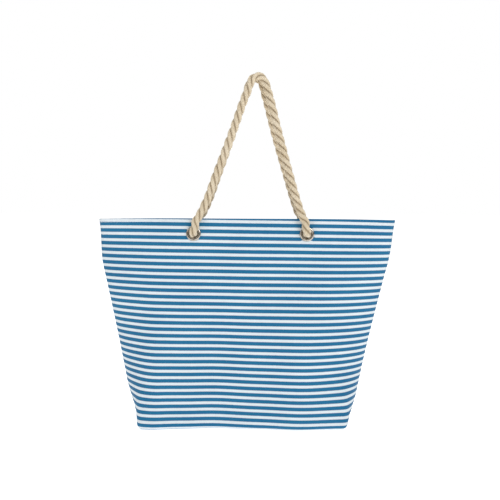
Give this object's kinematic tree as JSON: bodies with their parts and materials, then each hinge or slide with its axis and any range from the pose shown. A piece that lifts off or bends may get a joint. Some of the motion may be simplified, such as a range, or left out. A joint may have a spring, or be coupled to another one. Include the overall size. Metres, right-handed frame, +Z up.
{
  "type": "beach bag",
  "caption": "Wide soft canvas tote with a boxed flat base, an open lined mouth and twisted rope handles that pass through metal grommets and swing down over each face.",
  "frame": {"origin": "middle of the base, on the surface that the bag stands on", "axes": "+Z up to the peak of the handles, the front face looks along -Y, +X to the right when the front is seen"},
  "size_m": [0.546, 0.134, 0.6606],
  "materials": {
    "canvas": "woven cotton canvas with level blue and white stripes",
    "lining": "plain unbleached cotton",
    "rope": "natural three-strand twisted cotton rope",
    "nickel": "polished nickel plate"
  },
  "bodies": {
    "root": {"front_panel": "canvas", "back_panel": "canvas", "front_facing": "canvas", "back_facing": "canvas", "front_lining": "lining", "back_lining": "lining", "slip_pocket": "lining", "front_left_eyelet": "nickel", "front_left_washer": "nickel", "front_left_rope_end": "rope", "front_left_knot": "rope", "front_right_eyelet": "nickel", "front_right_washer": "nickel", "front_right_rope_end": "rope", "front_right_knot": "rope", "rear_left_eyelet": "nickel", "rear_left_washer": "nickel", "rear_left_rope_end": "rope", "rear_left_knot": "rope", "rear_right_eyelet": "nickel", "rear_right_washer": "nickel", "rear_right_rope_end": "rope", "rear_right_knot": "rope", "snap_socket": "nickel", "snap_stud": "nickel", "snap_socket_plate": "nickel", "snap_stud_plate": "nickel"},
    "front_handle": {"front_handle_rope": "rope"},
    "rear_handle": {"rear_handle_rope": "rope"}
  },
  "joints": [
    {"name": "front_handle_swing", "type": "hinge", "parent": "root", "child": "front_handle", "pos_m": [0, -0.05012, 0.37181], "axis": [1, 0, 0], "range_deg": [0, 165]},
    {"name": "rear_handle_swing", "type": "hinge", "parent": "root", "child": "rear_handle", "pos_m": [0, 0.05012, 0.37181], "axis": [-1, 0, 0], "range_deg": [0, 165]}
  ]
}
